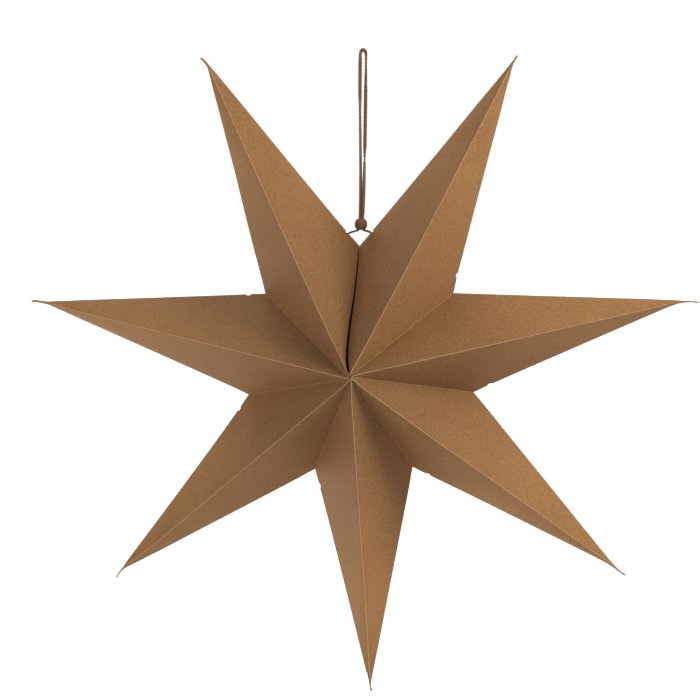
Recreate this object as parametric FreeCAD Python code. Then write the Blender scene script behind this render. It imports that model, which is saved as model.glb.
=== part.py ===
import FreeCAD, Part
import math
import os

# A hanging paper star of seven hollow folded points, on a corded loop with a bead.
# Millimetres. The star lies in the XZ plane, its front faces -Y and +Z is up.
# The origin is where a hook carries the loop: the inside of the loop's top bend.

Vector = FreeCAD.Vector

# The star
POINT_NAMES = ("top_left", "left", "lower_left", "bottom", "lower_right", "right", "top_right")
TIP_RADIUS = 300.0
NOTCH_RADIUS = 107.5
HALF_DEPTH = 95.0
CARD = 0.5
FOLD_RADIUS = 0.6
HUB_CLEARANCE = 1.8
SLIT_GAP = 1.6

# The slack fan: its fold lines turn a little on the cord and crowd towards the lower right
FAN_TURN_DEG = 1.5
FAN_CROWDING_DEG = 2.2
FAN_CROWDED_FROM_DEG = 211.0

# Flaps of each sheet
GLUE_FLAP = 11.0
FLAP_SPLIT = 1.0
HEM_FLAP = 9.0
SEAM_LAP = 9.0

# The tongue at each tip, where the four panels are pinched together and curl
PINCH_LENGTH = 6.0
TONGUE_LENGTH = 10.5
PINCH_WALL = 1.5
TONGUE_SCALES = (1.0, 0.74, 0.56, 0.47, 0.42, 0.36)
TONGUE_CURL_DEG = {
    "top_left": (30.0, 8.0),
    "left": (-6.0, 22.0),
    "lower_left": (22.0, 10.0),
    "bottom": (-5.0, 16.0),
    "lower_right": (6.0, 14.0),
    "right": (-27.0, 6.0),
    "top_right": (-4.0, 10.0),
}

# String holes, punched across an outline fold of every sheet
HOLE_RADIUS = 2.4
HOLE_FROM_NOTCH = 16.0

# Cord, knots and bead
CORD_DIAMETER = 2.6
KNOT_RADIUS = 3.2
KNOT_CLEARANCE = 0.2
BEAD_RADIUS = 5.7
BEAD_HEIGHT = 10.0
BEAD_END_LAND = 0.5
BEAD_LIP = 0.7
BEAD_CLEARANCE = 0.15
BEAD_CENTRE_Z = -154.1
STRAND_SPACING = 2.7

# The cord's route from hole to hole, as x and z of its corners
CORD_ROUTE = (
    (-8.2, -160.5),
    (-4.0, -161.2),
    (-1.34, -159.6),
    (-1.32, -156.0),
    (-1.34, -150.0),
    (-1.38, -140.0),
    (-1.45, -122.0),
    (-2.1, -79.0),
    (-2.6, -41.0),
    (-2.78, -18.0),
    (-2.82, -6.0),
    (-2.72, 0.15),
    (0.0, 1.72),
    (2.72, 0.15),
    (2.86, -6.0),
    (2.84, -18.0),
    (2.7, -41.0),
    (2.2, -79.0),
    (1.45, -122.0),
    (1.38, -140.0),
    (1.34, -150.0),
    (1.32, -156.0),
    (1.34, -159.6),
    (4.1, -161.0),
    (6.9, -159.2),
)
ARC_SHARE = 0.45
HOLES_BELOW_LOOP = 161.2

BLOCK = 4 * TIP_RADIUS
FRONT = -1
REAR = 1
CCW = 1
CW = -1


def trimmed(solid, point, outward):
    """The part of a solid on the inner side of a plane."""
    waste = Part.makeBox(BLOCK, BLOCK, BLOCK, Vector(-BLOCK / 2, -BLOCK / 2, 0))
    waste.Placement = FreeCAD.Placement(point, FreeCAD.Rotation(Vector(0, 0, 1), outward))
    return solid.cut(waste)


def away_from(normal, inside):
    """A unit normal that points away from a direction inside the solid."""
    unit = Vector(normal).normalize()
    return unit if unit.dot(inside) < 0 else -unit


def fold_line_deg(even_deg):
    """Where a fold line of the slack fan lies, from its place in an even fan."""
    crowding = FAN_CROWDING_DEG * math.cos(math.radians(even_deg - FAN_CROWDED_FROM_DEG))
    return even_deg + FAN_TURN_DEG + crowding


class PointGeometry:
    """One point in its own frame: the tip along +X, the front to -Y, the star's axis through zero."""

    def __init__(self, index):
        step = 360.0 / len(POINT_NAMES)
        first = fold_line_deg(90.0 + index * step)
        last = fold_line_deg(90.0 + (index + 1) * step)
        self.name = POINT_NAMES[index]
        self.direction_deg = (first + last) / 2
        self.half_angle = math.radians((last - first) / 2)
        self.tip = Vector(TIP_RADIUS, 0, 0)
        self.gaps = {CCW: 0.0, CW: 0.0}
        if index == 0:
            self.gaps[CW] = SLIT_GAP / 2
        if index == len(POINT_NAMES) - 1:
            self.gaps[CCW] = SLIT_GAP / 2

    def free(self, side):
        """Whether the side is at the slit, where nothing is glued."""
        return self.gaps[side] > 0

    def apex(self, face):
        return Vector(0, face * HALF_DEPTH, 0)

    def notch(self, side):
        across = side * NOTCH_RADIUS * math.sin(self.half_angle)
        return Vector(NOTCH_RADIUS * math.cos(self.half_angle), 0, across)

    def panel_normal(self, face, side):
        across = (self.notch(side) - self.apex(face)).cross(self.tip - self.apex(face))
        return away_from(across, Vector(0, -face, 0))

    def mouth_normal(self, side):
        """Outward from the plane in which this side's flaps meet the neighbour's."""
        return Vector(-math.sin(self.half_angle), 0, side * math.cos(self.half_angle))

    def fold_directions(self):
        ends = [self.apex(FRONT), self.apex(REAR), self.notch(CCW), self.notch(CW)]
        return [(self.tip - end).normalize() for end in ends]

    def placed(self, shape):
        """The shape turned from the point's own frame to its place in the star."""
        turned = shape.copy()
        turn = FreeCAD.Rotation(Vector(0, 1, 0), -self.direction_deg)
        turned.Placement = FreeCAD.Placement(Vector(0, 0, STAR_CENTRE_Z), turn)
        return turned

    def placed_vector(self, place):
        turn = FreeCAD.Rotation(Vector(0, 1, 0), -self.direction_deg)
        return turn.multVec(place)

    def string_hole(self, side):
        along = (self.tip - self.notch(side)).normalize()
        return self.notch(side) + along * HOLE_FROM_NOTCH


def hole_height(point, side):
    return point.placed_vector(point.string_hole(side)).z


def panel_body(point, inset, mouth_insets, tip_cut, hub_cut):
    """The wedge between the four panel planes and the two mouth planes, each moved inwards."""
    length = TIP_RADIUS - tip_cut - hub_cut
    corner = Vector(hub_cut, -BLOCK / 2, -BLOCK / 2)
    body = Part.makeBox(length, BLOCK, BLOCK, corner)
    for face in (FRONT, REAR):
        for side in (CCW, CW):
            normal = point.panel_normal(face, side)
            body = trimmed(body, point.tip - normal * inset, normal)
    for side in (CCW, CW):
        normal = point.mouth_normal(side)
        body = trimmed(body, normal * -mouth_insets[side], normal)
    return body


def with_round_folds(body, point):
    """The outer body with its two ridges and two outline folds rounded."""
    folds = []
    for edge in body.Edges:
        run = (edge.Vertexes[-1].Point - edge.Vertexes[0].Point).normalize()
        if any(abs(run.dot(fold)) > 0.999999 for fold in point.fold_directions()):
            folds.append(edge)
    return body.makeFillet(FOLD_RADIUS, folds)


def mouth_opening(point, side):
    """The opening between the front and rear glue flaps of one side."""
    notch_angle = math.atan2(HALF_DEPTH, NOTCH_RADIUS)
    inner = NOTCH_RADIUS - GLUE_FLAP / math.sin(notch_angle)
    past_axis = -HUB_CLEARANCE
    half_height = (inner - past_axis) * math.tan(notch_angle)
    out = Vector(math.cos(point.half_angle), 0, side * math.sin(point.half_angle))
    normal = point.mouth_normal(side)
    start = normal * -2 * CARD
    corners = [
        start + out * inner,
        start + out * past_axis + Vector(0, half_height, 0),
        start + out * past_axis + Vector(0, -half_height, 0),
    ]
    opening = Part.Face(Part.makePolygon(corners + corners[:1])).extrude(normal * 4 * CARD)
    split_end = NOTCH_RADIUS - 3 * CARD
    half_split = Vector(0, FLAP_SPLIT / 2, 0)
    corners = [
        start + out * past_axis + half_split,
        start + out * split_end + half_split,
        start + out * split_end - half_split,
        start + out * past_axis - half_split,
    ]
    split = Part.Face(Part.makePolygon(corners + corners[:1])).extrude(normal * 4 * CARD)
    return opening.fuse(split)


def lining(hollow, outer, point, face, side, edge_start, edge_end, width):
    """A flap that lies flat against a panel's inside, along one of the panel's edges."""
    normal = point.panel_normal(face, side)
    flap = trimmed(hollow, point.tip - normal * 2 * CARD, -normal)
    inwards = normal.cross(edge_end - edge_start).normalize()
    middle = Vector(TIP_RADIUS / 3, 0, 0)
    if inwards.dot(middle - edge_start) < 0:
        inwards = -inwards
    flap = trimmed(flap, edge_start + inwards * width, inwards)
    return flap.common(outer)


def tongue(point, end_face):
    """The pinched tip: the end's own outline carried on along a small arc while it shrinks."""
    sideways_deg, forwards_deg = TONGUE_CURL_DEG[point.name]
    bend = math.radians(math.hypot(sideways_deg, forwards_deg))
    towards = Vector(0, -forwards_deg, sideways_deg).normalize()
    length = PINCH_LENGTH + TONGUE_LENGTH
    root = Vector(TIP_RADIUS - PINCH_LENGTH, 0, 0)
    axis = Vector(1, 0, 0).cross(towards)
    sections = []
    for step, scale in enumerate(TONGUE_SCALES):
        angle = bend * step / (len(TONGUE_SCALES) - 1)
        radius = length / bend
        place = Vector(1, 0, 0) * (radius * math.sin(angle)) + towards * (radius * (1 - math.cos(angle)))
        section = end_face.OuterWire.copy()
        section.translate(-root)
        section = section.scaled(scale, Vector(0, 0, 0))
        section.rotate(Vector(0, 0, 0), axis, math.degrees(angle))
        section.translate(root + place)
        sections.append(section)
    return Part.makeLoft(sections, True, False)


def paper_point(index):
    """One die-cut sheet folded into a hollow point."""
    point = PointGeometry(index)
    sharp = panel_body(point, 0.0, point.gaps, PINCH_LENGTH, HUB_CLEARANCE)
    outer = with_round_folds(sharp, point)
    insets = {}
    for side in (CCW, CW):
        insets[side] = -CARD if point.free(side) else CARD
    hollow = panel_body(point, CARD, insets, PINCH_LENGTH + PINCH_WALL, 0.0)
    sheet = outer.cut(hollow)
    for side in (CCW, CW):
        if point.free(side):
            for face in (FRONT, REAR):
                edge = (point.apex(face), point.notch(side))
                hem = lining(hollow, outer, point, face, side, *edge, HEM_FLAP)
                sheet = sheet.fuse(hem)
        else:
            sheet = sheet.cut(mouth_opening(point, side))
    lap = lining(hollow, outer, point, REAR, CCW, point.notch(CCW), point.tip, SEAM_LAP)
    sheet = sheet.fuse(lap)
    end_faces = [f for f in outer.Faces if f.CenterOfMass.x > TIP_RADIUS - PINCH_LENGTH - 0.01]
    sheet = sheet.fuse(tongue(point, end_faces[0]))
    for side in (CCW, CW):
        if side == CW or point.free(side):
            sheet = sheet.cut(Part.makeSphere(HOLE_RADIUS, point.string_hole(side)))
    return point.placed(sheet.removeSplitter())


def knot_centre(point, side):
    """Inside the outline fold, behind its hole; the seam lap doubles the card on one side."""
    fold = (point.tip - point.notch(side)).normalize()
    inwards = Vector(0, 1, 0).cross(fold).normalize()
    if inwards.dot(-point.notch(side)) < 0:
        inwards = -inwards
    flare = math.asin(abs(point.panel_normal(FRONT, side).dot(inwards)))
    layers = 2 if side == CCW else 1
    depth = (KNOT_RADIUS + KNOT_CLEARANCE + layers * CARD) / math.sin(flare)
    place = point.placed_vector(point.string_hole(side) + inwards * depth)
    return Vector(place.x, FRONT * (layers - 1) * CARD / 2, place.z + STAR_CENTRE_Z)


def rounded_route(corners):
    """Straight runs joined by tangent arcs, with the smallest radius and the total length."""
    edges = []
    radii = []
    start = corners[0]
    for before, corner, after in zip(corners, corners[1:], corners[2:]):
        back = before - corner
        ahead = after - corner
        reach = ARC_SHARE * min(back.Length, ahead.Length)
        half_turn = (math.pi - back.getAngle(ahead)) / 2
        radii.append(reach / math.tan(half_turn))
        back.normalize()
        ahead.normalize()
        first = corner + back * reach
        last = corner + ahead * reach
        middle_way = (back + ahead).normalize()
        middle = corner + middle_way * (radii[-1] / math.cos(half_turn) - radii[-1])
        edges.append(Part.LineSegment(start, first).toShape())
        edges.append(Part.Arc(first, middle, last).toShape())
        start = last
    edges.append(Part.LineSegment(start, corners[-1]).toShape())
    wire = Part.Wire(edges)
    print("cord radii:", " ".join(f"{r:.1f}" for r in radii))
    return wire


def knot(centre, towards_cord):
    """A round knot with a flat where the cord enters it."""
    ball = Part.makeSphere(KNOT_RADIUS, centre)
    flat = math.sqrt(KNOT_RADIUS**2 - (CORD_DIAMETER / 2) ** 2)
    return trimmed(ball, centre + towards_cord * flat, towards_cord), flat


def hanging_cord(left, right):
    """The loop from the left knot up through the bead, over its top bend and back down."""
    corners = [Vector(x, 0, z) for x, z in CORD_ROUTE]
    knots = []
    for end, centre in ((0, left), (-1, right)):
        towards_cord = (corners[end] - centre).normalize()
        solid, flat = knot(centre, towards_cord)
        knots.append(solid)
        seat = centre + towards_cord * flat
        corners.insert(0 if end == 0 else len(corners), seat)
    wire = rounded_route(corners)
    start = corners[0]
    along = corners[1] - corners[0]
    section = Part.Wire(Part.makeCircle(CORD_DIAMETER / 2, start, along))
    tube = wire.makePipeShell([section], True, False)
    expected = wire.Length * math.pi * (CORD_DIAMETER / 2) ** 2
    print(f"cord length {wire.Length:.1f} volume {tube.Volume:.1f} expected {expected:.1f}")
    return tube.fuse(knots).removeSplitter()


def cord_bead():
    """A turned bead with a bore for both strands."""
    bore = STRAND_SPACING / 2 + CORD_DIAMETER / 2 + BEAD_CLEARANCE
    half = BEAD_HEIGHT / 2
    land = bore + BEAD_LIP + BEAD_END_LAND
    barrel = Part.Arc(Vector(land, 0, -half), Vector(BEAD_RADIUS, 0, 0), Vector(land, 0, half))
    corners = [
        Vector(land, 0, half),
        Vector(bore + BEAD_LIP, 0, half),
        Vector(bore, 0, half - BEAD_LIP),
        Vector(bore, 0, BEAD_LIP - half),
        Vector(bore + BEAD_LIP, 0, -half),
        Vector(land, 0, -half),
    ]
    outline = Part.Wire([barrel.toShape()] + Part.makePolygon(corners).Edges)
    bead = Part.Face(outline).revolve(Vector(0, 0, 0), Vector(0, 0, 1), 360)
    bead.translate(Vector(0, 0, BEAD_CENTRE_Z))
    return bead


FIRST = PointGeometry(0)
LAST = PointGeometry(len(POINT_NAMES) - 1)
MEAN_HOLE_HEIGHT = (hole_height(FIRST, CW) + hole_height(LAST, CCW)) / 2
STAR_CENTRE_Z = -HOLES_BELOW_LOOP - MEAN_HOLE_HEIGHT

os.makedirs("parts", exist_ok=True)
for number, name in enumerate(POINT_NAMES):
    shape = paper_point(number)
    print(name, "solids", len(shape.Solids), "valid", shape.isValid(), "volume", round(shape.Volume))
    shape.exportStep(f"parts/paper_point_{name}.step")
cord_bead().exportStep("parts/cord_bead.step")
cord = hanging_cord(knot_centre(FIRST, CW), knot_centre(LAST, CCW))
print("cord solids", len(cord.Solids), "valid", cord.isValid())
cord.exportStep("parts/hanging_cord.step")
print(f"star centre z {STAR_CENTRE_Z:.2f}")
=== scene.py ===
import math

import bmesh
import bpy
from mathutils import Matrix, Vector, noise


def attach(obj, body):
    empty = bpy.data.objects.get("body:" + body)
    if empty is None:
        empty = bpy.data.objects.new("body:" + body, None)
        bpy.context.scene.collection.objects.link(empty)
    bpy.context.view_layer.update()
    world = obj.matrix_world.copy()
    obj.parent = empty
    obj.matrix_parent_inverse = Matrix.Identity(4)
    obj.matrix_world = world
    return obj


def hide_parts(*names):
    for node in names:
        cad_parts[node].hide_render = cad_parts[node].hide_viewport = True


# A hanging paper star of seven folded card points, on a corded loop with a bead.
# Metres. The star lies in the XZ plane, its front faces -Y and +Z is up.

MM = 0.001

# Colours, as they are lit by plain white light
CARD_DARK = (0.318, 0.155, 0.055, 1)
CARD_PALE = (0.368, 0.182, 0.068, 1)
CARD_GRAIN = 0.36
FIBRE_PALE = (0.52, 0.36, 0.21, 1)
FLECK_DARK = (0.08, 0.045, 0.025, 1)
WORN_FOLD = (0.72, 0.46, 0.26, 1)
WOOD_DARK = (0.205, 0.098, 0.053, 1)
WOOD_PALE = (0.270, 0.134, 0.075, 1)
CORD_DARK = (0.185, 0.088, 0.044, 1)
CORD_PALE = (0.300, 0.155, 0.086, 1)
CORD_FIBRE = (0.42, 0.25, 0.15, 1)

# Where the wear of a fold is full and where it has ended, as distances from the fold
RIDGE_WEAR = (0.25 * MM, 0.75 * MM)
OUTLINE_WEAR = (0.2 * MM, 0.6 * MM)
MOUTH_WEAR = (0.15 * MM, 0.5 * MM)

# Painted shade and light: the card's colour is darkened towards the hub, where the valleys lie in shade,
# and lightened towards the tips; two distances from the hub, two tones
PAINTED_SHADE_AND_LIGHT = (20 * MM, 200 * MM, 0.78, 1.17)

# An edge that turns more than this stays crisp where the card is shaded smooth
CREASE_ANGLE = math.radians(34)

# The room
FLOOR_Z = -1.9
FLOOR_HALF_SIZE = 30
FLOOR_COLOUR = (0.85, 0.85, 0.85, 1)
ROOM_LIGHT = 0.30
ROOM_COLOUR = (0.93, 1.0, 1.04, 1)

# Each lamp: place, width, power and colour. The key stands to the right and a little above;
# the others bring back the light of a white room from behind and from the left
LAMP_TARGET = (0, 0, -0.28)
LAMPS = {
    "key": ((1.977, -0.742, 0.861), 1.3, 37, (1.0, 0.93, 0.80)),
    "back_left_low": ((-1.638, 1.478, -1.226), 1.3, 17, (1.0, 0.90, 0.76)),
    "back_left_high": ((-0.946, 1.478, 1.358), 1.3, 26, (1.0, 0.88, 0.72)),
    "left": ((-1.838, -1.543, -0.28), 1.3, 12, (1.0, 0.92, 0.80)),
}

# The camera looks down a little on the star from its right
LENS_MM = 74.16
SENSOR_WIDTH_MM = 36
CAMERA_PLACE = Vector((0.1100, -1.3047, -0.1096))
CAMERA_LOOK = Vector((-0.0901, 0.9886, -0.1207))
CAMERA_UP = Vector((-0.0199, 0.1194, 0.9926))

# The star
POINT_NAMES = ("top_left", "left", "lower_left", "bottom", "lower_right", "right", "top_right")
STAR_CENTRE = Vector((0, 0, -281.01 * MM))
TIP_RADIUS = 300 * MM
NOTCH_RADIUS = 107.5 * MM
HALF_DEPTH = 95 * MM
CARD_THICKNESS = 0.5 * MM
HUB_HOLE = 1.3 * MM
SLIT_CUT = 0.8 * MM
FRONT, REAR = -1, 1
CCW, CW = 1, -1

# Small distances: how near is the same spot, the same cut or the same fold, how far is just short
# of a line, which edge is too short to keep, and what keeps a divisor from zero
SAME_SPOT = 1e-6
CUT_NEAR = 1e-7
ON_FOLD = 2e-6
JUST_UNDER = 1e-5
TOO_SHORT = 5e-6
NOT_ZERO = 1e-9

# The slack fan: its fold lines turn a little on the cord and crowd towards the lower right
FAN_TURN_DEG = 1.5
FAN_CROWDING_DEG = 2.2
FAN_CROWDED_FROM_DEG = 211

# Folds and flaps of each sheet
RIDGE_ROUNDING = 0.55 * MM
GLUE_FLAP = 11 * MM
HEM_FLAP = 9 * MM
SEAM_LAP = 9 * MM
SEAM_CLOSES_AT = 276 * MM
LAP_ENDS_AT = 262 * MM
SEAM_STEP = 0.5 * MM
SEAM_SHORT = 0.35 * MM
SEAM_LEAN_IN = 0.6
SEAM_LEAN_BACK = 0.8
SEAM_OPENS_OVER = 14 * MM
SEAM_FROM_MOUTH = 10 * MM
FLAP_START = 1 * MM
NARROW_FLAP = 0.4 * MM
NARROW_HEM = 0.5 * MM
HEM_RAMP = 0.45 * MM
HEM_SHOWS = 0.35 * MM
HEM_SHOWS_FROM_FOLD = 3 * MM

# The string holes: where they lie, where the card round them is divided finely, and how far and
# how closely their rims are torn
HOLE_RADIUS = 2.4 * MM
HOLE_FROM_NOTCH = 16 * MM
HOLE_FINE_AREA = 3.2 * HOLE_RADIUS
HOLE_FINE_EDGE = 1.2 * MM
HOLE_TORN = 0.10
HOLE_TEARS = 900

# The hem turns back in four short steps: each is a move out of the panel and a move in from its
# edge, as shares of the card's thickness
HEM_TURN = ((-0.35, -0.45), (-0.75, -0.2), (-0.75, 0.2), (-0.3, 0.45))

# How far the slit's edge comes out of the slit's plane for each millimetre across its panel
EDGE_LEAN = 0.9

# The free edge at the slit rolls inwards, less so towards the notch
EDGE_ROLL_WIDTH = 17 * MM
EDGE_ROLLS = {CW: 2.6 * MM, CCW: 1.0 * MM}
EDGE_ROLL_LOST = 0.75
EDGE_FOUND_WITHIN = 4 * MM
EDGE_ROLL_FROM_RIDGE = 5 * MM
EDGE_ROLL_FROM_OUTLINE = 12 * MM

# Each panel bows out between its folds, from these distances on
PANEL_BOW = 0.6 * MM
BOW_FROM_MOUTH = 30 * MM
BOW_FROM_TIP = 60 * MM

# Where the sheet is divided: distances from the hub in millimetres, and angles from the outline
# to the ridge in degrees
ROW_PLACES = (2.2, 3.6, 5.5, 8, 11, 15, 20, 27, 35, 45, 57, 70, 83, 110, 124, 139, 155, 171,
              187, 203, 218, 232, 245, 256, 266, 276, 283, 288)
COLUMN_ANGLES_DEG = (2.6, 12, 23, 34, 45, 56, 67, 78, 87)
TONGUE_ROOT = 291.5 * MM
TONGUE_FILLS_FROM = 2 * MM
TONGUE_FILL_END = 0.5 * MM

# Each tongue: distance from the hub, sideways place, forward place and width, in millimetres
TONGUES = {
    "top_left": (
        (294, 2.6, 0, 5.7), (297, 2.65, 0, 4.3), (300, 2.7, 0.1, 3.0),
        (302, 2.85, 0.3, 2.4), (304, 3.15, 0.5, 2.3), (306, 3.6, 0.9, 2.2),
        (308, 4.2, 1.3, 2.1), (309.6, 4.9, 1.6, 1.8), (310.8, 5.7, 1.9, 1.3)),
    "left": (
        (294, 0.45, 0.2, 3.4), (297, 0.45, 0.7, 2.5), (300, 0.4, 1.5, 2.3),
        (303, 0.3, 2.6, 2.1), (305.5, 0.35, 3.6, 1.9), (307, 0.55, 4.2, 2.4),
        (308.2, 0.85, 4.7, 2.2), (309.1, 1.1, 5.0, 1.6), (309.7, 1.3, 5.2, 0.8)),
    "lower_left": (
        (294, -0.5, 0, 4.1), (297, -0.4, 0.1, 2.9), (300, -0.25, 0.3, 1.8),
        (302, 0.0, 0.5, 1.5), (304, 0.25, 0.7, 1.5), (306, 0.55, 1.0, 1.3),
        (307.8, 1.1, 1.3, 1.2), (309, 1.9, 1.6, 1.5), (309.6, 2.5, 1.8, 0.9)),
    "bottom": (
        (294, -0.4, 0, 5.3), (297, -0.4, 0.1, 4.0), (300, -0.4, 0.4, 2.8),
        (302, -0.4, 0.7, 2.2), (304, -0.45, 1.1, 1.7), (306, -0.3, 1.6, 1.3),
        (307.6, 0.15, 2.1, 1.8), (309, 0.5, 2.5, 2.0), (310.2, 0.62, 2.8, 1.3)),
    "lower_right": (
        (294, 0.0, 0, 3.5), (297, -0.1, 0.1, 2.8), (300, -0.2, 0.3, 2.2),
        (302, -0.28, 0.6, 2.0), (304, -0.3, 0.9, 1.7), (306, -0.25, 1.2, 1.4),
        (308, -0.05, 1.6, 1.6), (309.8, 0.3, 2.0, 1.9), (311, 0.42, 2.2, 1.2)),
    "right": (
        (294, -2.1, 0, 2.3), (297, -2.6, 0.1, 1.9), (300, -3.05, 0.3, 1.5),
        (302.5, -3.6, 0.6, 1.3), (305, -4.3, 0.9, 1.3), (307, -5.0, 1.2, 1.4),
        (308.4, -5.55, 1.4, 1.2), (309.3, -6.0, 1.5, 0.8)),
    "top_right": (
        (294, -1.6, 0, 5.0), (297, -1.6, 0.1, 3.8), (300, -1.7, 0.3, 2.7),
        (302, -1.9, 0.5, 2.2), (304, -2.1, 0.8, 1.8), (306, -2.25, 1.2, 1.5),
        (307.8, -2.3, 1.5, 1.6), (309.2, -2.35, 1.8, 1.1)),
}

# How the four-sided section grows flatter over its first steps, each as a share of the one before
TONGUE_FLATTENS = (0.92, 0.9, 0.92, 1.0)

# How far the slack card strays from straight folds, in millimetres, at these distances from the
# hub: for each point the anticlockwise outline and the clockwise outline, both outwards, and then
# the ridge, anticlockwise
OUTLINE_PLACES = (112, 160, 208, 256, 282, 291)
RIDGE_PLACES = (6, 12, 20, 45, 100, 150, 200, 250, 291)
STRAYS = {
    "top_left": ((1.1, 1.8, 2.0, 3.1, 3.9, 3.9), (-1.2, -1.2, -1.1, -0.8, -0.85, -0.85),
                 (0.5, 0.4, 0.6, 1.5, 2.0, 2.4, 2.6, 2.9, 2.8)),
    "left": ((0.1, 0.1, 0.3, 0.6, 0.75, 0.75), (-1.0, -0.7, -0.4, 0.0, 0.0, 0.15),
             (1.5, 1.6, 1.6, 1.4, 1.4, 1.4, 1.4, 1.6, 0.6)),
    "lower_left": ((0.6, 0.7, 0.6, 0.7, 0.55, 0.3), (-1.3, -1.1, -0.4, 0.6, 1.3, 1.5),
                   (2.0, 2.3, 2.1, 1.8, 1.6, 1.4, 1.4, 1.4, -0.3)),
    "bottom": ((0.7, 0.8, 0.8, 1.0, 1.1, 1.15), (-0.5, -0.1, 0.6, 1.4, 1.9, 1.95),
               (0.6, 0.2, -0.1, 0.0, -0.2, -0.1, 0.1, -0.2, -0.4)),
    "lower_right": ((-0.3, -0.3, -0.1, -0.1, 0.35, 0.35), (-0.4, -0.7, -0.5, -0.3, -0.2, 0.15),
                    (-0.6, -1.0, -1.1, -1.3, -1.4, -0.8, -0.6, -0.5, 0.2)),
    "right": ((-0.5, -1.0, -1.4, -1.8, -1.85, -2.1), (-0.2, -0.1, 0.1, 0.4, 0.55, 1.3),
              (1.0, 0.8, 0.8, 0.3, -0.2, -0.8, -1.0, -1.6, -1.4)),
    "top_right": ((-0.3, -0.5, -0.7, -0.4, -0.4, -0.45), (-0.5, 0.2, 1.2, 2.2, 2.4, 2.95),
                  (1.2, 1.0, 0.7, 0.2, -0.8, -1.1, -1.4, -1.7, -1.7)),
}

# How far each notch strays anticlockwise, in millimetres, from the slit round to the slit
NOTCH_STRAYS = (0.4, 1.1, 0.9, 0.5, 0.5, -0.3, 0.0, 0.4)
HUB_STRAY = 0.8

# Past the notch the stray turns over into the outline's, and its direction into straight across
STRAY_TURNS_OVER = 14 * MM
STRAIGHT_AFTER = 40 * MM

# The slit: how far it strays anticlockwise and half its gap, in millimetres, at these distances
# from the hub
SLIT_PLACES = (4, 9, 14, 24, 31, 39, 52, 64, 78, 88, 98, 107)
SLIT_STRAYS = (1.5, 3.1, 4.0, 4.3, 3.9, 3.5, 2.7, 1.6, 1.0, 0.8, 0.7, 0.4)
SLIT_HALF_GAPS = (0.25, 0.25, 0.25, 0.25, 0.28, 0.3, 0.4, 0.42, 0.45, 0.45, 0.4, 0.15)

# The folds are drawn in a little at the hub, and the hole between them is nearly closed
HUB_DRAWN_IN = 0.7 * MM
HUB_REACH = 5 * MM
HUB_CLOSED = 0.7
HUB_CLOSED_REACH = 2 * MM

# Cord, bead and knots. The route's corners are x and z, in millimetres
CORD_ROUTE = (
    (-12.22, -162.93),
    (-8.6, -161.1),
    (-4.6, -160.2),
    (-1.3, -158.9),
    (-1.22, -155.5),
    (-1.1, -150.0),
    (-0.65, -140.0),
    (-0.45, -130.0),
    (-0.75, -108.0),
    (-1.25, -79.0),
    (-1.9, -49.0),
    (-2.12, -20.0),
    (-2.1, -7.0),
    (-2.0, -0.6),
    (0.5, 1.5),
    (3.0, -0.6),
    (3.1, -7.0),
    (3.1, -20.0),
    (3.05, -49.0),
    (2.92, -79.0),
    (2.6, -108.0),
    (2.2, -130.0),
    (1.95, -140.0),
    (1.5, -150.0),
    (1.3, -155.5),
    (1.7, -158.9),
    (4.4, -160.0),
    (7.2, -160.3),
    (11.21, -162.8),
)
CORD_WIDTH = 3.4 * MM
YARN_RADIUS = 0.5 * MM
YARNS = 8
BRAID_PITCH = 6.4 * MM
BRAID_HALF_THICKNESS = 0.46 * MM
YARN_DIPS = 2.2
CORE_STRANDS = 3
CORE_SPREAD = 0.74 * MM
CORE_RADIUS = 0.56 * MM
STEPS_PER_PITCH = 14

# How far the flat cord is turned from facing the front, in degrees, at distances from its left end
CORD_TURNS = (
    (0, 74), (14, 70), (28, 46), (34, 36), (52, 36), (64, 54), (100, 57), (108, 64), (121, 60),
    (135, 8), (160, 2), (167, 48), (173, 8), (179, 56), (186, 64), (201, 40), (212, 8), (255, 6),
    (266, 56), (276, 124), (290, 144), (314, 144), (322, 130), (335, 110), (347, 106))

KNOT_CENTRES = {"left": (-14.72, 0, -164.44), "right": (13.59, 0, -164.49)}
KNOT_SIZE = 2.15 * MM
KNOT_YARN = 0.95 * MM
KNOT_CORNERS = 24

BEAD_CENTRE = Vector((0, 0, -154.1 * MM))
BEAD_RADIUS = 5.7 * MM
BEAD_HALF_HEIGHT = 5 * MM
BEAD_BORE = 2.8 * MM
BEAD_LIP = 0.7 * MM
BEAD_LAND = 0.98
BEAD_SIDE_STEPS = 16
BEAD_LIP_STEPS = 4
BEAD_SPIN_STEPS = 72

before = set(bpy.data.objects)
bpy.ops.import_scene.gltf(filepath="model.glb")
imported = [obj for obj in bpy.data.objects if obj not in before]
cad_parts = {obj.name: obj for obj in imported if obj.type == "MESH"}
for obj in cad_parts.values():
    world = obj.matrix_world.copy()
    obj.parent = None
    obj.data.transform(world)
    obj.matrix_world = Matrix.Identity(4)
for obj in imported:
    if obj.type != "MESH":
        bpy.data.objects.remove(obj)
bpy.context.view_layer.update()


def fold_line_deg(even_deg):
    """Where a fold line of the slack fan lies, from its place in an even fan."""
    crowding = FAN_CROWDING_DEG * math.cos(math.radians(even_deg - FAN_CROWDED_FROM_DEG))
    return even_deg + FAN_TURN_DEG + crowding


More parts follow.
